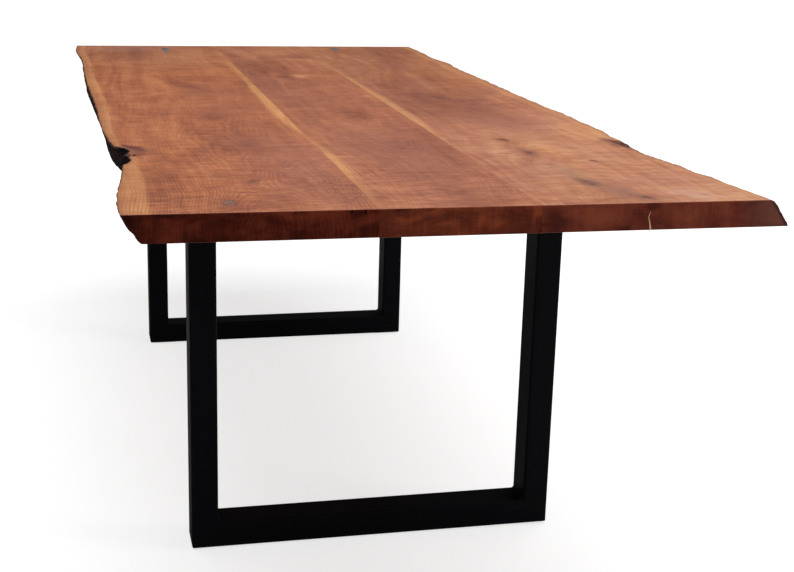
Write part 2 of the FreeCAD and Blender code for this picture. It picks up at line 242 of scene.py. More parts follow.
def woodMaterial(name, look):
    s = Sketch(name)
    seed = look["seed"]

    def layer(kind, start=seed):
        across, length, down, shift, detail, rough, twist = grain[kind]
        return s.noise(s.spaced(across, length, down, start + shift), 1.0, detail, rough, twist)

    farShare, endSoak = woodHabits["farShare"], woodHabits["endSoak"]
    along = s.math("MULTIPLY_ADD", s.y, 1.0 / woodHabits["tableLength"], 0.5)
    # place on the top, shaken a little so that no mark has a drawn outline
    shakeX, shakeY = woodHabits["shake"]
    s.markX, s.markY = (s.math("MULTIPLY_ADD", s.less(layer("shakeX"), 0.5), shakeX, s.x),
                        s.math("MULTIPLY_ADD", s.less(layer("shakeY"), 0.5), shakeY, s.y))
    # sawn ends soak up more oil
    facing = s.tree.nodes.new("ShaderNodeSeparateXYZ")
    s.tree.links.new(s.coords["Normal"], facing.inputs[0])
    endMask = s.step(s.math("ABSOLUTE", facing.outputs[1]), 0.55, 0.85)
    offEnd = s.less(1.0, endMask)
    topSide = s.step(facing.outputs[2], -0.3, 0.1)
    # growth rings: slow wander of the pith, then the distance from it
    wander = s.noise(s.spaced(1.5, 0.8, 1.5, seed), 1.6, 3.0)
    lift = s.noise(s.spaced(1.2, 1.0, 1.2, seed + 7.0), 1.9, 3.0)
    px, pz = look["pith"]
    acrossRing = s.add(s.less(s.x, px), s.mul(s.less(wander, 0.5), look["wander"]))
    downRing = s.add(s.less(s.z, pz), s.mul(s.less(lift, 0.5), look["lift"]), s.mul(s.y, look["dip"]))
    reach = s.math("SQRT", s.add(s.mul(acrossRing, acrossRing), s.mul(downRing, downRing)))
    for kx, ky, wide, long, rise in look["eyes"]:
        reach = s.add(reach, s.mul(s.blob(kx, ky, wide, long), rise))
    ragged = s.mul(layer("ragged"), woodHabits["ringRagged"])
    saw = s.math("FRACT", s.add(s.mul(reach, 1.0 / look["ringWidth"]), ragged))
    ring = s.ramp(saw, [(0.0, (0.05,) * 3), (0.45, (0.14,) * 3), (0.86, (1.0,) * 3), (1.0, (0.0,) * 3)])
    # broad colour, wisps across the grain, streaks and fibres along it, then lighter and darker patches listed per
    # board
    broad = layer("broad")
    cross = layer("cross")
    streak = layer("streak")
    fibre = layer("fibre")
    pores = s.step(layer("pores"), 0.53, 0.66)
    level = look["lighter"] + 0.5 - 0.5 * (look["blotch"] + look["wisp"] + look["line"] * 2.0)
    tone = s.add(s.mul(broad, look["blotch"]), s.mul(cross, look["wisp"]),
                 s.mul(s.add(streak, fibre), look["line"]), level)
    hush = 1.0
    for x, y, wide, long, amount in look["calm"]:
        hush = s.less(hush, s.mul(s.blob(x, y, wide, long), amount))
    perReach, perLength = woodHabits["bands"]
    bands = s.noise(s.vector(s.mul(reach, perReach), s.mul(s.y, perLength), seed), 1.0, 3.0, 0.6)
    tone = s.add(tone, s.mul(s.less(bands, 0.5), hush, look["band"]))
    chatter = layer("chatter")
    chatterShown = s.step(s.y, -1.0, 0.2, look["chatter"], look["chatter"] * farShare["chatter"])
    tone = s.add(tone, s.mul(s.less(chatter, 0.5), chatterShown))
    for x, y, wide, long, amount in look["patches"]:
        tone = s.add(tone, s.mul(s.blob(x, y, wide, long), amount))
    colour = s.ramp(tone, [(0.10, look["deep"]), (0.50, look["mid"]), (0.90, look["pale"])])
    golden = s.step(layer("golden"), 0.38, 0.66, 0.0, look["golden"])
    colour = s.mix(golden, colour, s.mix(1.0, colour, woodTints["golden"], "MULTIPLY"))
    rosy = s.step(layer("rosy"), 0.42, 0.62, 0.0, look["rosy"])
    colour = s.mix(rosy, colour, s.mix(1.0, colour, woodTints["rosy"], "MULTIPLY"))
    colour = s.mix(s.mul(pores, woodHabits["poreDark"]), colour, look["deep"])
    wisps = s.step(layer("wisps"), 0.53, 0.68)
    wispShown = s.step(s.y, -0.9, 0.3, look["darkWisp"], look["darkWisp"] * farShare["wisps"])
    colour = s.mix(s.mul(wisps, wispShown), colour, woodTones["plum"])
    for x, y, wide, long, amount, tint in look["stains"]:
        colour = s.mix(s.mul(s.blob(x, y, wide, long), amount), colour, woodTones[tint])
    # sapwood along a live edge and along the joints
    saps = []
    waver = s.mul(s.less(layer("waver"), 0.5), woodHabits["sapWaver"])
    if look["edgeSap"]:
        gap, width = s.attribute("edgeGap"), s.mul(s.curve(along, look["edgeSap"]), woodHabits["sapUnit"])
        inner = s.step(s.add(s.less(gap, width), s.mul(waver, 0.6)), -0.004, 0.004, look["edgeSapStrength"], 0.0)
        saps.append(s.mul(inner, s.step(gap, 0.0, 0.022, 0.55, 1.0)))
    for glueX, inward, widths, strengths in look["jointSap"]:
        depth, width = s.mul(s.less(s.x, glueX), inward), s.mul(s.curve(along, widths), woodHabits["sapUnit"])
        band = s.step(s.add(s.less(depth, width), s.mul(waver, 0.7)), -0.010, 0.006, 0.82, 0.0)
        saps.append(s.mul(band, s.curve(along, strengths)))
    for sap in saps:
        threads = s.step(s.add(streak, s.mul(fibre, 0.6), s.mul(ring, 0.15)), 0.70, 1.25)
        lined = s.mix(threads, woodTones["sap"], look["mid"])
        sap = s.mul(sap, s.step(s.add(broad, s.mul(cross, 0.8)), 0.62, 1.05, 0.70, 1.0))
        colour = s.mix(s.mul(sap, s.less(1.0, s.mul(endMask, 0.9))), colour, lined)
    seen = s.mul(s.step(layer("seen"), 0.35, 0.65, 0.35, 1.0), s.step(s.y, -0.95, 0.1, 1.0, farShare["rings"]))
    colour = s.mix(s.mul(ring, look["ringStrength"], hush, seen), colour, woodTones["ring"])
    # knots, then marks: deep red-brown round the pockets, painted shade for the pocket holes, painted reflection
    # beside the far knots, and painted sheen and highlights
    wider, longer = woodHabits["haloSize"]
    for kx, ky, wide, long, turn, dark in look["knots"]:
        core = s.blob(kx, ky, wide, long, turn)
        halo = s.mul(s.blob(kx, ky, wide * wider, long * longer, turn),
                     s.step(s.add(streak, cross), 0.7, 1.3, 0.3, 0.9))
        colour = s.mix(s.mul(halo, dark * woodHabits["haloDark"]), colour, woodTones["plum"])
        colour = s.mix(s.mul(core, dark), colour, woodTones["knot"])
    for x, y, wide, long, turn, amount, tint in look["marks"]:
        spread = s.mul(s.step(s.blob(x, y, wide, long, turn), 0.30, 0.70),
                       s.step(s.add(cross, broad), 0.75, 1.15, 0.6, 1.0))
        colour = s.mix(s.mul(spread, topSide, amount), colour, woodTones[tint])
    # thin dark wandering lines of spalt
    for sx, sy, wide, long, amount in look["spalt"]:
        twist = layer("spalt", 0.0)
        line = s.step(s.math("ABSOLUTE", s.less(twist, 0.5)), 0.0, 0.055, 1.0, 0.0)
        colour = s.mix(s.mul(line, s.step(s.blob(sx, sy, wide, long), 0.2, 0.7), amount), colour, woodTones["spalt"])
    # end grain: clouds and rays, a darker tip on the right, and two ticks by the glue line
    soak = s.add(s.mul(layer("clouds"), endSoak["clouds"]), s.mul(layer("rays"), endSoak["rays"]),
                 s.mul(ring, endSoak["ring"]), endSoak["base"])
    for x, z, wide, tall, amount in look["endPatches"]:
        soak = s.add(soak, s.mul(s.blob(x, z, wide, tall, 0.0, s.z), amount))
    # each board's end tones step lighter from the left board to the right: partly the wood, partly painted light
    # falling from the right
    endTone = s.ramp(soak, [(0.15, look["endDeep"]), (0.55, look["endMid"]), (0.90, look["endPale"])])
    for start, full, slope, line in look["tip"]:
        endTone = s.mix(s.step(s.x, start, full, 0.0, 0.6), endTone, woodTones["tip"])
        rim = s.step(s.math("MULTIPLY_ADD", s.z, slope, s.x), line - 0.008, line - 0.002, 0.0, 0.7)
        endTone = s.mix(rim, endTone, woodTones["bark"])
    for tx, tall in look["ticks"]:
        foot = woodHabits["topHeight"] - tall
        tick = s.mul(s.step(s.math("ABSOLUTE", s.less(s.x, tx)), *woodHabits["tickHalf"], 1.0, 0.0),
                     s.step(s.z, foot - woodHabits["tickFade"], foot))
        endTone = s.mix(tick, endTone, woodTones["gapShade"])
    colour = s.mix(endMask, colour, endTone)
    # sheen and relief, then bark and painted shade in the hollows of a live edge
    height = s.add(s.mul(ring, 0.2), s.mul(fibre, 0.6), s.mul(cross, 0.5))
    gloss = s.add(s.mul(fibre, 0.12), s.mul(cross, 0.14), look["gloss"])
    normal = s.bump(height, 0.12, 0.0006)
    if look["edgeSap"]:
        bark, pocketShade = s.mul(s.attribute("bark"), offEnd), s.attribute("pocketShade")
        rough = layer("barkPlates", 0.0)
        barkTone = s.ramp(rough, [(0.36, woodTones["gapShade"]), (0.55, woodTones["bark"]),
                                  (0.8, woodTones["barkLight"])])
        # painted shade in the hollows: near-black, plum between caveEnds
        cave = s.mix(s.step(s.y, *look["caveEnds"]), woodTones["gapShade"], woodTones["cave"])
        barkTone = s.mix(pocketShade, barkTone, cave)
        colour = s.mix(s.mul(s.step(gap, 0.0005, 0.0045, 0.50, 0.0), offEnd), colour, woodTones["barkLight"])
        colour = s.mix(s.mul(s.step(gap, 0.0, 0.026, 0.22, 0.0), offEnd), colour, woodTones["plum"])
        colour = s.mix(s.math("MAXIMUM", bark, s.mul(pocketShade, offEnd)), colour, barkTone)
        gloss = s.math("MULTIPLY_ADD", bark, 0.5, gloss)
        normal = s.bump(s.mul(rough, bark), 0.8, 0.004, normal)
    onFace, onEnd = woodHabits["sheen"]
    shine = s.math("MULTIPLY_ADD", endMask, onEnd, onFace)
    return s.finish(Base_Color=colour, Roughness=gloss, Specular_IOR_Level=shine, Normal=normal)


# Each board's own look. Patches, stains, knots, eyes and marks: x, y, half width, half length, then
# any turn, and how strong. Sapwood: share of the length, then width in decimetres or strength.
leftLook = {
    "seed": 11.0, "pith": (-0.279, 0.690), "wander": 0.16, "lift": 0.09, "dip": 0.035, "ringWidth": 0.0054,
    "deep": linear(108, 56, 39), "mid": linear(167, 102, 70), "pale": linear(206, 140, 97), "ringStrength": 0.50,
    "lighter": -0.01, "blotch": 0.60, "wisp": 0.55, "line": 0.26, "chatter": 0.95, "band": 0.50, "golden": 0.40,
    # end tones on these lines: darkest of the three boards, partly painted shade
    "darkWisp": 0.55, "rosy": 0.5, "gloss": 0.34, "tip": [], "caveEnds": (2.0, 3.0), "endDeep": linear(47, 15, 9),
    "endMid": linear(84, 31, 20), "endPale": linear(122, 51, 32),
    "patches": [
        (-0.30, -1.05, 0.30, 0.35, 0.06), (-0.20, -0.80, 0.06, 0.14, -0.06), (-0.22, 0.93, 0.09, 0.17, 0.15),
        (-0.17, 0.32, 0.10, 0.28, -0.16), (-0.24, -0.02, 0.06, 0.25, -0.08), (-0.25, -1.06, 0.05, 0.06, -0.08),
        (-0.30, 0.28, 0.03, 0.12, -0.08), (-0.40, 0.95, 0.08, 0.12, -0.20), (-0.28, -0.55, 0.10, 0.30, -0.08),
        (-0.17, 0.62, 0.04, 0.25, 0.10), (-0.38, -0.50, 0.08, 0.10, 0.08), (-0.33, -1.00, 0.06, 0.10, 0.06),
        (-0.42, -0.90, 0.02, 0.16, -0.10), (-0.22, -0.98, 0.05, 0.10, -0.08),
    ],
    # the mauve entries are partly painted sheen
    "stains": [
        (-0.18, -0.82, 0.09, 0.36, 0.48, "mauveAndSheen"), (-0.25, 0.0, 0.10, 0.35, 0.20, "mauveAndSheen"),
        (-0.252, -0.59, 0.026, 0.060, 0.60, "plum"), (-0.252, -0.60, 0.060, 0.12, 0.25, "plum"),
        (-0.277, -0.25, 0.034, 0.06, 0.40, "plum"), (-0.310, -1.12, 0.030, 0.020, 0.30, "plum"),
        # the pale pink entry at the far end is painted sheen
        (-0.282, 0.28, 0.016, 0.10, 0.25, "plum"), (-0.40, 1.09, 0.18, 0.10, 0.20, "paintedSheen"),
        (-0.32, 0.85, 0.16, 0.25, 0.20, "ash"),
    ],
    "knots": [(-0.283, -0.931, 0.008, 0.018, 0.0, 0.55), (-0.341, -1.086, 0.009, 0.018, 0.0, 0.75)],
    "calm": [],
    "eyes": [(-0.25, -0.97, 0.06, 0.16, 0.05), (-0.222, -0.76, 0.03, 0.09, 0.03)],
    "endPatches": [
        (-0.43, 0.74, 0.03, 0.012, 0.25), (-0.30, 0.73, 0.03, 0.012, 0.15), (-0.20, 0.745, 0.02, 0.012, 0.15),
        (-0.36, 0.745, 0.03, 0.02, -0.1),
    ],
    "marks": [
        (-0.457, -0.607, 0.012, 0.050, 0.47, 0.95, "deepRedBrown"), (-0.455, -0.640, 0.022, 0.070, 0.1, 0.60, "deepRedBrown"),
        # the grey mark round the far knot is painted reflection
        (-0.435, -0.650, 0.030, 0.050, 0.1, 0.35, "plum"), (-0.284, 1.02, 0.012, 0.100, -0.08, 0.75, "paintedSkyGlint"),
        # the near-black marks are painted shade for the pocket's hole
        (-0.4605, -0.689, 0.005, 0.011, 0.0, 1.0, "gapShade"), (-0.472, -0.690, 0.008, 0.030, 0.0, 1.0, "gapShade"),
    ],
    "edgeSap": [
        (0.0, 0.46), (0.05, 0.46), (0.10, 0.42), (0.15, 0.30), (0.20, 0.16), (0.30, 0.18), (0.45, 0.25),
        (0.60, 0.25), (0.75, 0.22), (1.0, 0.24),
    ],
    "edgeSapStrength": 0.58,
    "jointSap": [(
        -0.127, -1.0,
        [(0.0, 0.0), (0.22, 0.01), (0.283, 0.05), (0.348, 0.18), (0.413, 0.24), (0.5, 0.22), (0.59, 0.19),
         (0.76, 0.18), (1.0, 0.10)],
        [(0.0, 0.0), (0.2, 0.3), (0.3, 0.9), (0.4, 1.0), (0.6, 0.90), (0.68, 0.65), (0.8, 0.30), (1.0, 0.0)],
    )],
    "spalt": [(-0.154, -1.01, 0.034, 0.13, 0.60)], "ticks": [(-0.1685, 0.004), (-0.148, 0.006)],
}
centreLook = {
    "seed": 31.0, "pith": (0.02, 0.700), "wander": 0.14, "lift": 0.07, "dip": -0.03, "ringWidth": 0.0052,
    "deep": linear(102, 55, 42), "mid": linear(161, 100, 74), "pale": linear(201, 138, 102), "ringStrength": 0.42,
    "lighter": 0.02, "blotch": 0.55, "wisp": 0.48, "line": 0.24, "chatter": 0.85, "band": 0.45, "golden": 0.25,
    "darkWisp": 0.45, "rosy": 0.4, "gloss": 0.34, "tip": [], "endDeep": linear(70, 26, 18),
    "endMid": linear(112, 50, 34), "endPale": linear(150, 72, 44),
    # the mauve entries are partly painted sheen
    "stains": [
        (0.0, -0.68, 0.10, 0.28, 0.46, "mauveAndSheen"), (-0.08, 0.2, 0.05, 0.4, 0.15, "mauveAndSheen"),
        (0.035, -0.60, 0.030, 0.06, 0.35, "plum"), (-0.015, 0.38, 0.018, 0.05, 0.35, "plum"),
        (0.01, 0.06, 0.02, 0.03, 0.30, "plum"),
    ],
    "patches": [
        (0.02, 0.97, 0.14, 0.18, 0.16), (0.10, 0.70, 0.04, 0.18, 0.11), (-0.09, 0.34, 0.07, 0.30, -0.16),
        (-0.07, -0.08, 0.06, 0.20, -0.10), (0.02, -0.58, 0.10, 0.22, -0.19), (0.09, -0.72, 0.05, 0.14, -0.12),
        (-0.07, 0.62, 0.06, 0.15, -0.20), (0.03, -0.24, 0.03, 0.06, -0.16), (0.07, 0.88, 0.05, 0.06, -0.14),
        (-0.10, 0.88, 0.02, 0.05, -0.14), (0.010, 0.41, 0.018, 0.035, 0.36), (-0.02, 0.40, 0.02, 0.05, -0.16),
        (-0.02, -0.38, 0.05, 0.08, 0.08), (0.0, 0.12, 0.02, 0.04, -0.12), (0.0, -0.95, 0.05, 0.12, -0.08),
        (0.08, -0.98, 0.03, 0.14, 0.06),
    ],
    "knots": [], "calm": [(0.027, -0.963, 0.06, 0.13, 0.95)],
    "eyes": [(0.012, 0.41, 0.05, 0.07, 0.05), (0.017, 0.060, 0.04, 0.05, 0.04)],
    "marks": [], "edgeSap": [],
    "endPatches": [
        (0.112, 0.738, 0.006, 0.02, 0.40), (0.04, 0.735, 0.03, 0.012, 0.20), (-0.07, 0.74, 0.03, 0.012, 0.15),
    ],
    "jointSap": [(
        -0.127, 1.0,
        [(0.0, 0.06), (0.04, 0.11), (0.09, 0.18), (0.15, 0.20), (0.22, 0.16), (0.28, 0.04), (0.34, 0.0),
         (1.0, 0.0)],
        [(0.0, 0.35), (0.05, 0.50), (0.10, 0.75), (0.17, 0.90), (0.22, 0.7), (0.30, 0.4), (0.36, 0.0), (1.0, 0.0)],
    )],
    "spalt": [], "ticks": [],
}
rightLook = {
    "seed": 53.0, "pith": (0.30, 0.680), "wander": 0.18, "lift": 0.10, "dip": 0.02, "ringWidth": 0.0052,
    "deep": linear(114, 64, 52), "mid": linear(167, 109, 83), "pale": linear(209, 156, 120), "ringStrength": 0.12,
    "lighter": 0.02, "blotch": 0.55, "wisp": 0.42, "line": 0.24, "chatter": 0.60, "band": 0.45, "golden": 0.70,
    "darkWisp": 0.35, "rosy": 0.7, "gloss": 0.32, "tip": [(0.44, 0.51, 0.708, 1.0436)],
    # end tones on these lines: lightest of the three boards, partly painted light from the right
    "caveEnds": (-0.635, -0.605), "endDeep": linear(90, 39, 31), "endMid": linear(124, 58, 43),
    "endPale": linear(148, 74, 52),
    "endPatches": [
        (0.145, 0.738, 0.018, 0.02, -0.45), (0.302, 0.757, 0.014, 0.010, -0.65), (0.22, 0.735, 0.03, 0.014, 0.32),
        (0.36, 0.735, 0.03, 0.014, 0.32), (0.47, 0.745, 0.03, 0.02, -0.25),
    ],
    # the mauve entries are partly painted sheen
    "stains": [
        # the pale pink entry here is painted sheen
        (0.29, -0.37, 0.09, 0.18, 0.50, "mauveAndSheen"), (0.38, -0.60, 0.09, 0.20, 0.08, "paintedSheen"),
        (0.34, -1.04, 0.16, 0.12, 0.28, "mauveAndSheen"), (0.40, 0.55, 0.07, 0.45, 0.30, "gold"),
        (0.242, 0.25, 0.030, 0.06, 0.45, "plum"), (0.245, 0.07, 0.035, 0.06, 0.40, "plum"),
        (0.27, -0.16, 0.060, 0.12, 0.30, "plum"), (0.262, -0.93, 0.017, 0.10, 0.50, "ash"),
        (0.352, -0.808, 0.016, 0.018, 0.25, "plum"), (0.249, -0.70, 0.022, 0.055, 0.40, "plum"),
        (0.288, -1.06, 0.020, 0.050, 0.40, "ash"), (0.22, -0.85, 0.03, 0.10, 0.20, "ash"),
    ],
    "patches": [
        (0.27, -0.12, 0.17, 0.34, -0.10), (0.32, 0.55, 0.30, 0.60, -0.14), (0.21, -0.02, 0.08, 0.38, -0.15),
        (0.36, -0.12, 0.05, 0.20, -0.10), (0.36, -0.42, 0.05, 0.14, -0.10), (0.40, -1.08, 0.10, 0.07, 0.12),
        (0.255, -0.62, 0.025, 0.10, 0.12), (0.375, -0.68, 0.025, 0.10, 0.08), (0.44, 0.42, 0.05, 0.40, 0.10),
        (0.45, -0.42, 0.06, 0.30, 0.09), (0.47, -0.98, 0.04, 0.20, 0.09), (0.37, 0.35, 0.05, 0.10, -0.10),
        (0.38, 0.90, 0.07, 0.20, -0.10), (0.20, -0.65, 0.030, 0.14, 0.12), (0.31, -0.64, 0.020, 0.15, 0.08),
        (0.42, -0.30, 0.06, 0.20, 0.08), (0.33, -0.80, 0.16, 0.42, 0.14), (0.24, 0.80, 0.10, 0.12, 0.06),
        (0.245, -0.65, 0.022, 0.10, -0.10),
    ],
    "knots": [
        (0.2434, -0.573, 0.008, 0.018, 0.15, 0.80), (0.2490, -0.710, 0.010, 0.022, 0.0, 0.65),
        (0.2610, -0.995, 0.012, 0.026, 0.15, 0.70), (0.3090, -1.115, 0.010, 0.020, 0.3, 0.80),
        (0.290, -1.080, 0.003, 0.006, 0.0, 0.5),
    ],
    "calm": [], "eyes": [(0.245, -0.60, 0.06, 0.15, 0.06)],
    "marks": [
        # the pale pink marks are a painted highlight in the pocket and the painted reflection of the window near the
        # right end
        (0.450, -0.618, 0.025, 0.060, 0.0, 0.80, "cave"), (0.4535, -0.628, 0.005, 0.016, 0.0, 0.55, "paintedSheen"),
        # the near-black mark is painted shade for the pocket's hole
        (0.460, -0.645, 0.011, 0.036, 0.0, 1.0, "gapShade"), (0.3393, -0.802, 0.008, 0.014, 0.0, 0.95, "deepRedBrown"),
        # the grey mark round the far knot is painted reflection
        (0.4505, -0.690, 0.006, 0.024, 0.0, 0.70, "deepRedBrown"), (0.225, 1.07, 0.013, 0.075, 0.0, 0.7, "paintedSkyGlint"),
        (0.385, -1.085, 0.034, 0.026, 0.0, 0.30, "paintedSheen"), (0.400, -1.115, 0.024, 0.030, 0.4, 0.35, "paintedSheen"),
        (0.428, -1.105, 0.0045, 0.055, 0.464, 0.55, "paintedSheen"),
    ],
    "edgeSap": [(0.0, 0.18), (0.3, 0.26), (0.6, 0.34), (0.8, 0.36), (1.0, 0.26)],
    "edgeSapStrength": 0.46,
    "jointSap": [(
        0.125, 1.0,
        [(0.0, 0.0), (0.25, 0.06), (0.283, 0.09), (0.348, 0.16), (0.413, 0.21), (0.5, 0.21), (0.6, 0.12),
         (0.7, 0.14), (1.0, 0.14)],
        [(0.0, 0.0), (0.25, 0.3), (0.30, 0.65), (0.35, 0.80), (0.42, 0.80), (0.5, 0.75), (0.6, 0.68), (0.7, 0.5),
         (0.8, 0.3), (1.0, 0.1)],
    )],
    "spalt": [], "ticks": [],
}

# Boards with live edges: the solid's outline, sampled finely, with relief, eased arrises and torn bark pockets
liveBoards = {
    "stations": 560,
    "columns": 26,
    "levels": 26,
    "footColumns": 4,
    "columnCrowd": 1.6,     # columns crowd towards the live edge
    "arris": 0.0024,
    "sink": 0.0001,         # the dressed top lies this far under the solid's
    "endSink": 0.0003,
    "outGuard": 0.0001,
    "castFrom": 0.7,        # rays that find the edge start this far out
    "castAbove": 0.1,
    "endGuard": 0.004,
    "skin": 0.0006,
    "edgeDepth": 0.001,
    "calmSpan": 12,         # the calm line looks over this share of the stations each way
    "roundVary": (0.6, 9.0),
    "pocketReach": 0.06,    # hollows are looked for this far in from the edge
    "pocketLift": 0.0003,
    # hollows are painted dark as shade, fully at this depth
    "pocketDark": 0.012,    # depth at which a hollow is dark
    "pocketShy": 0.4,
    "pocketFoot": 0.75,     # share of the thickness that a pocket may reach
    "pocketRough": 1.6,
    # the painted shade on the top goes no darker than this
    "topDarkest": 0.85,
    "barkFade": 0.004,
    "undersideGap": 0.3,    # keeps edge sapwood off the underside
    "sharpAngle": 38,
}
liveEdges = {
    "left_board": {"side": -1, "topRound": 0.0024, "footRound": 0.005, "bold": 1.0, "seed": 3.0},
    "right_board": {"side": 1, "topRound": 0.0060, "footRound": 0.004, "bold": 2.4, "seed": 17.0},
}
edgeKeys = ("side", "topRound", "footRound", "bold", "seed")
# turns per metre along and down, shift, height
reliefWaves = [(17.0, 20.0, 0.0, 0.0016), (46.0, 60.0, 5.0, 0.0012), (120.0, 240.0, 9.0, 0.0006)]


def addPiece(name, mesh, material, node):
    # a dressed piece stands in for the solid of the same node
    piece = bpy.data.objects.new(name, mesh)
    bpy.context.scene.collection.objects.link(piece)
    mesh.materials.append(material)
    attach(piece, "root")
    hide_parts(node)
    return piece


def edgeRelief(y, z, seed, bold):
    # smooth swells, then fibres and small bumps, in metres
    total = 0.0
    for perY, perZ, shift, high in reliefWaves:
        total += high * noise.noise(Vector((y * perY, z * perZ, seed + shift)))
    return bold * total


def dressBoard(node, material):
    side, topRound, footRound, bold, seed = [liveEdges[node][k] for k in edgeKeys]
    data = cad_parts[node].data
    tree = BVHTree.FromPolygons([v.co.copy() for v in data.vertices], [tuple(p.vertices) for p in data.polygons])
    low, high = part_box(node)
    glue, outmost = (low[0], high[0]) if side > 0 else (high[0], -low[0])
    bottom, top = low[2], high[2] - liveBoards["sink"]
    near, far = low[1] + liveBoards["endSink"], high[1] - liveBoards["endSink"]
    arris, levels, count = liveBoards["arris"], liveBoards["levels"], liveBoards["stations"]
    thick = top - bottom
    depths = [thick * (0.5 - 0.5 * math.cos(math.pi * i / levels)) for i in range(levels + 1)]

    def edgeAt(y, z):
        y = min(max(y, low[1] + liveBoards["endGuard"]), high[1] - liveBoards["endGuard"])
        z = min(max(z, bottom + liveBoards["skin"]), top - liveBoards["skin"])
        hit = tree.ray_cast(Vector((side * liveBoards["castFrom"], y, z)), Vector((-side, 0.0, 0.0)))[0]
        return side * hit.x

    def dropAt(x, y):
        hit = tree.ray_cast(Vector((x, y, top + liveBoards["castAbove"])), Vector((0.0, 0.0, -1.0)))[0]
        return max(top - hit.z - liveBoards["pocketLift"], 0.0) if hit else 0.0

    eased = [(arris * (1 - math.cos(a)), arris * (1 - math.sin(a))) for a in (math.pi * k / 6 for k in range(4))]
    rows = [(near + back, shrink) for back, shrink in eased]
    rows += [(near + arris + (far - near - 2 * arris) * k / count, 0.0) for k in range(1, count)]
    rows += [(far - back, shrink) for back, shrink in reversed(eased)]
    edges = [edgeAt(y, top - liveBoards["edgeDepth"]) for y, _ in rows]
    calm = []  # where the edge would run without its pockets
    eachWay = count // liveBoards["calmSpan"]
    for i in range(len(rows)):
        span = [edges[j] for j in range(max(0, i - eachWay), min(len(rows), i + eachWay + 1))]
        calm.append(max(span) * 0.5 + sum(span) / len(span) * 0.5)
    points, gaps, barks, pocketShades = [], [], [], []
    vary, perLength = liveBoards["roundVary"]
    # one loop of points at each station: over the top, down the live edge, back along the underside
    for (y, shrink), edge, still in zip(rows, edges, calm):
        ring = []
        upperRound = topRound * (1.0 + vary * noise.noise(Vector((y * perLength, 0.0, seed))))
        for d in depths:
            z = top - d
            x = edgeAt(y, z)
            # how far the edge here sinks into a pocket: painted shade on the pocket's wall, and rougher relief
            sunk = 0.0
            if d < thick * liveBoards["pocketFoot"]:
                sunk = min(max((still - x) / liveBoards["pocketDark"] - liveBoards["pocketShy"], 0.0), 1.0)
            x += edgeRelief(y, z, seed, bold) * (1.0 + liveBoards["pocketRough"] * sunk)
            inset = 0.0
            if d < upperRound:
                inset = upperRound - math.sqrt(max(upperRound ** 2 - (upperRound - d) ** 2, 0.0))
            if thick - d < footRound:
                up = footRound - (thick - d)
                inset = max(inset, footRound - math.sqrt(max(footRound ** 2 - up ** 2, 0.0)))
            x = min(x - inset, outmost - liveBoards["outGuard"]) - shrink
            z = min(max(z, bottom + shrink), top - shrink)
            ring.append((side * x, y, z, edge - x, min(d / liveBoards["barkFade"], 1.0), sunk))
        inner = side * glue
        upper = []
        first = side * ring[0][0]
        for c in range(liveBoards["columns"]):
            t = c / liveBoards["columns"]
            x = inner + (first - inner) * (1 - (1 - t) ** liveBoards["columnCrowd"])
            # where the top drops into a pocket, the drop is kept as painted shade
            drop = dropAt(side * x, y) if edge - x < liveBoards["pocketReach"] else 0.0
            dark = min(drop / liveBoards["pocketDark"], liveBoards["topDarkest"])
            upper.append((side * x, y, top - shrink - drop, edge - x, 0.0, dark))
        lower = []
        last = side * ring[-1][0]
        for c in range(liveBoards["footColumns"]):
            x = last + (inner - last) * (c + 1) / liveBoards["footColumns"]
            lower.append((side * x, y, bottom + shrink, liveBoards["undersideGap"], 0.0, 0.0))
        loop = upper + ring + lower
        points += [p[:3] for p in loop]
        gaps += [p[3] for p in loop]
        barks += [p[4] for p in loop]
        pocketShades += [p[5] for p in loop]
    n = len(loop)
    faces = []
    for r in range(len(rows) - 1):
        for c in range(n):
            d = (c + 1) % n
            quad = (r * n + c, r * n + d, (r + 1) * n + d, (r + 1) * n + c)
            faces.append(quad if side < 0 else quad[::-1])
    faces.append(tuple(range(n - 1, -1, -1)) if side < 0 else tuple(range(n)))
    last = (len(rows) - 1) * n
    faces.append(tuple(last + c for c in (range(n) if side < 0 else range(n - 1, -1, -1))))
    mesh = bpy.data.meshes.new(node + "Dressed")
    mesh.from_pydata(points, [], faces)
    for name, values in (("edgeGap", gaps), ("bark", barks), ("pocketShade", pocketShades)):
        mesh.attributes.new(name, "FLOAT", "POINT").data.foreach_set("value", values)
    mesh.polygons.foreach_set("use_smooth", [True] * len(faces))
    mesh.set_sharp_from_angle(angle=math.radians(liveBoards["sharpAngle"]))
    mesh.update()
    return addPiece(node + "Dressed", mesh, material, node)


leftWood = woodMaterial("leftBoardCherry", leftLook)
centreWood = woodMaterial("centreBoardCherry", centreLook)
rightWood = woodMaterial("rightBoardCherry", rightLook)
dressBoard("left_board", leftWood)
dressBoard("right_board", rightWood)
print("stage: boards dressed")

# Resin in the knots: ragged pools inside the outlines of the solid plugs
knotPools = {
    "places": [(-0.3400, -1.0856, 0.0102, 0.0150), (-0.2831, 1.0557, 0.0150, 0.0510),
               (0.2600, -1.0021, 0.0135, 0.0210), (0.2250, 1.0672, 0.0150, 0.0420)],
    "corners": 60,
    "top": 0.75996,
    "deep": 0.7481,
    "fill": (0.78, 0.30, 0.98),  # share of the outline: usual, ragged by, and at most
    "lobes": 1.4,
    "apart": 5.0,                # keeps the pools' outlines unlike
    "coreShare": 0.62,
}


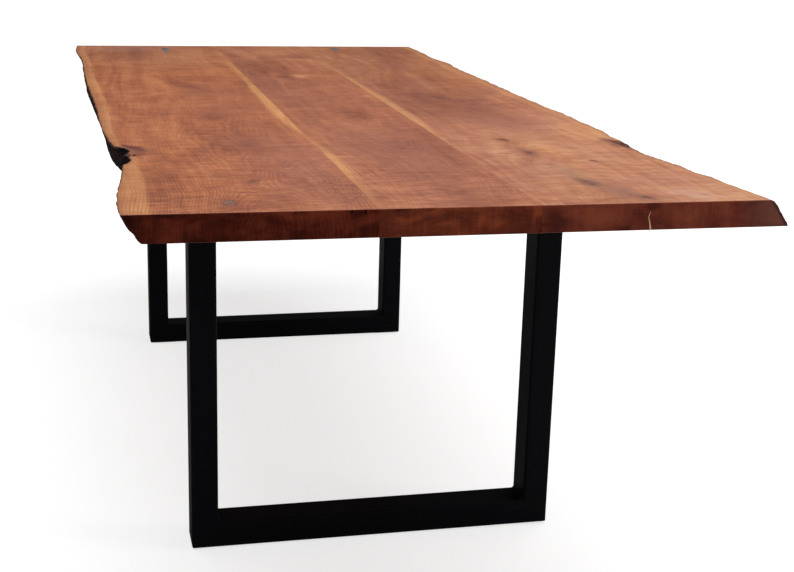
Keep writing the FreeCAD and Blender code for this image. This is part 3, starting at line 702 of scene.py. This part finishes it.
def dressKnots(material):
    points, faces = [], []
    count = knotPools["corners"]
    usual, ragged, most = knotPools["fill"]
    lobes = knotPools["lobes"]
    for number, (x, y, wide, long) in enumerate(knotPools["places"]):
        start = len(points)
        for z in (knotPools["top"], knotPools["deep"]):
            for i in range(count):
                turn = 2 * math.pi * i / count
                spot = Vector((math.cos(turn) * lobes, math.sin(turn) * lobes, knotPools["apart"] * number))
                reach = min(usual + ragged * noise.fractal(spot, 1.0, 2.0, 3), most)
                points.append((x + wide * reach * math.cos(turn), y + long * reach * math.sin(turn), z))
        faces.append(tuple(start + i for i in range(count)))
        faces.append(tuple(start + count + i for i in range(count - 1, -1, -1)))
        for i in range(count):
            j = (i + 1) % count
            faces.append((start + j, start + i, start + count + i, start + count + j))
    mesh = bpy.data.meshes.new("knotPools")
    mesh.from_pydata(points, [], faces)
    mesh.update()
    return addPiece("knotPools", mesh, material, "knot_fills")


resinTones = {
    "nearRim": linear(148, 104, 86), "farRimGlint": linear(122, 108, 98),
    "leftCore": linear(92, 82, 82), "rightCore": linear(98, 66, 58), "farCoreGlint": linear(92, 92, 94),
}


def resinMaterial():
    s = Sketch("cloudedKnotResin")
    cloud = s.noise(s.spaced(120.0, 60.0, 120.0), 1.0, 3.0, 0.6, 0.8)
    # the far pools are greyer: painted reflection of the bright surroundings seen at a grazing angle
    far = s.step(s.y, -0.2, 0.6)
    rim = s.mix(far, resinTones["nearRim"], resinTones["farRimGlint"])
    middle, share = 0.0, knotPools["coreShare"]
    for x, y, wide, long in knotPools["places"]:
        middle = s.add(middle, s.blob(x, y, wide * share, long * share))
    nearCore = s.mix(s.step(s.x, 0.0, 0.1), resinTones["leftCore"], resinTones["rightCore"])
    core = s.mix(far, nearCore, resinTones["farCoreGlint"])
    colour = s.mix(s.mul(middle, s.step(cloud, 0.3, 0.6, 0.6, 1.0)), rim, core)
    gloss = s.math("MULTIPLY_ADD", cloud, 0.1, 0.40)
    return s.finish(Base_Color=colour, Roughness=gloss, Specular_IOR_Level=0.16, Normal=s.bump(cloud, 0.1, 0.0004))


def plainPaint(name, base, rough, specks, strength, shine=0.5):
    s = Sketch(name)
    speck = s.noise(s.coords["Object"], specks, 3.0, 0.6)
    cloud = s.noise(s.coords["Object"], 6.0, 2.0)
    colour = s.mix(s.mul(cloud, 0.5), base, tuple(1.6 * c for c in base[:3]) + (1.0,))
    gloss = s.math("MULTIPLY_ADD", speck, 0.12, rough)
    normal = s.bump(speck, strength, 0.0004)
    return s.finish(Base_Color=colour, Roughness=gloss, Specular_IOR_Level=shine, Normal=normal)


def dressNode(node, material):
    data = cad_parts[node].data
    data.materials.clear()
    data.materials.append(material)


# colour, roughness, specks per metre, relief, then sheen where it is not the usual one
finishes = {
    "satinBlackPowderCoat": ((0.0040, 0.0042, 0.0058, 1.0), 0.45, 900.0, 0.10, 0.06),
    "blackFelt": ((0.012, 0.012, 0.012, 1.0), 0.85, 1500.0, 0.6),
    "brightZinc": ((0.55, 0.56, 0.58, 1.0), 0.28, 700.0, 0.05),
    "rawBeech": (linear(196, 150, 106), 0.6, 220.0, 0.2),
    "paleFiller": (linear(226, 190, 140), 0.6, 500.0, 0.2),
}
powderCoat, feltCloth, zincPlate, beech, filler = [plainPaint(name, *values) for name, values in finishes.items()]
zincPlate.node_tree.nodes["Principled BSDF"].inputs["Metallic"].default_value = 1.0

dressNode("centre_board", centreWood)
dressKnots(resinMaterial())
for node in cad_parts:
    if node.endswith(("upright", "foot_rail", "top_plate", "weld_beads")):
        dressNode(node, powderCoat)
    elif node.endswith("felt_pads"):
        dressNode(node, feltCloth)
    elif node.endswith(("screws", "washers")):
        dressNode(node, zincPlate)
    elif node.endswith("tenons"):
        dressNode(node, beech)
dressNode("end_check_filler", filler)
print("stage: finishes set")

# Studio: white floor, a broad light above, a window on the right and a weak fill from the camera's side
studio = {
    "lights": {  # place, aim, width, depth, power
        "overhead": ((0.3, -0.3, 3.4), (0.0, -0.3, 0.7), 3.6, 4.2, 138.0),
        "window": ((3.6, -2.2, 1.5), (0.3, -0.9, 0.6), 1.6, 1.8, 45.0),
        "cameraFill": ((-0.8, -4.4, 2.0), (0.0, 0.0, 0.5), 2.5, 2.0, 5.0),
    },
    "world": 0.16, "worldShine": 0.10,
    "floorHalf": 30.0, "floorHeight": -0.0002, "paper": (0.55, 0.55, 0.55, 1.0),
    "floorGlow": (0.70, 1.02), "glowFrom": (1.2, 3.4),  # under the table, and out where the floor is white
}


def softLight(name, place, aim, wide, deep, power):
    lamp = bpy.data.lights.new(name, "AREA")
    lamp.shape, lamp.size, lamp.size_y, lamp.energy = "RECTANGLE", wide, deep, power
    item = bpy.data.objects.new(name, lamp)
    item.location = place
    item.rotation_euler = (Vector(aim) - Vector(place)).to_track_quat("-Z", "Y").to_euler()
    bpy.context.scene.collection.objects.link(item)
    return item


floorMesh = bpy.data.meshes.new("studioFloor")
half, height = studio["floorHalf"], studio["floorHeight"]
corners = [(-half, -half, height), (half, -half, height), (half, half, height), (-half, half, height)]
floorMesh.from_pydata(corners, [], [(0, 1, 2, 3)])
floor = bpy.data.objects.new("studioFloor", floorMesh)
bpy.context.scene.collection.objects.link(floor)
paper = Sketch("whitePaper")
paper.finish(Base_Color=studio["paper"], Roughness=0.9)
wires, boxes = paper.tree.links, paper.tree.nodes
rayKind, glow, lifted, chosen = [
    boxes.new("ShaderNode" + k) for k in ("LightPath", "Emission", "AddShader", "MixShader")]
paces = paper.math("SQRT", paper.add(paper.mul(paper.x, paper.x), paper.mul(paper.y, paper.y)))
wires.new(paper.step(paces, *studio["glowFrom"], *studio["floorGlow"]), glow.inputs["Strength"])
wires.new(paper.shader.outputs[0], lifted.inputs[0])
wires.new(glow.outputs[0], lifted.inputs[1])
wires.new(rayKind.outputs["Is Camera Ray"], chosen.inputs[0])
wires.new(paper.shader.outputs[0], chosen.inputs[1])
wires.new(lifted.outputs[0], chosen.inputs[2])
wires.new(chosen.outputs[0], boxes["Material Output"].inputs[0])
floorMesh.materials.append(paper.material)

for name, light in studio["lights"].items():
    softLight(name, *light)

world = bpy.data.worlds.new("studioWorld")
bpy.context.scene.world = world
world.use_nodes = True
wires, boxes = world.node_tree.links, world.node_tree.nodes
sky = boxes["Background"]
rayKind, shine, shown, firstMix, lastMix = [
    boxes.new("ShaderNode" + k) for k in ("LightPath", "Background", "Background", "MixShader", "MixShader")]
for ground, strength in ((sky, studio["world"]), (shine, studio["worldShine"]), (shown, 1.0)):
    ground.inputs["Color"].default_value = (1.0, 1.0, 1.0, 1.0)
    ground.inputs["Strength"].default_value = strength
wires.new(rayKind.outputs["Is Glossy Ray"], firstMix.inputs[0])
wires.new(sky.outputs[0], firstMix.inputs[1])
wires.new(shine.outputs[0], firstMix.inputs[2])
wires.new(rayKind.outputs["Is Camera Ray"], lastMix.inputs[0])
wires.new(firstMix.outputs[0], lastMix.inputs[1])
wires.new(shown.outputs[0], lastMix.inputs[2])
wires.new(lastMix.outputs[0], boxes["World Output"].inputs[0])
print("stage: studio lit")

# Camera, in the place found from the photograph
view = {
    "place": (-0.5670, -3.0820, 1.1930), "yaw": -0.2382, "pitch": 0.2705, "roll": 0.0283,
    "sensor": 36.0, "focal": 1383.4 * 36.0 / 794.0,
}
camera = bpy.data.cameras.new("tableView")
camera.sensor_fit, camera.sensor_width, camera.lens = "HORIZONTAL", view["sensor"], view["focal"]
eye = bpy.data.objects.new("tableView", camera)
bpy.context.scene.collection.objects.link(eye)
cy, sy = math.cos(view["yaw"]), math.sin(view["yaw"])
cp, sp = math.cos(view["pitch"]), math.sin(view["pitch"])
cr, sr = math.cos(view["roll"]), math.sin(view["roll"])
ahead = Vector((-sy * cp, cy * cp, -sp))
right = Vector((cy, sy, 0.0))
up = right.cross(ahead)
tiltedRight, tiltedUp = right * cr + up * sr, up * cr - right * sr
turned = Matrix((tiltedRight, tiltedUp, -ahead)).transposed().to_4x4()
eye.matrix_world = Matrix.Translation(view["place"]) @ turned
bpy.context.scene.camera = eye
bpy.context.scene.view_settings.view_transform = "Standard"

print("stage: camera set")
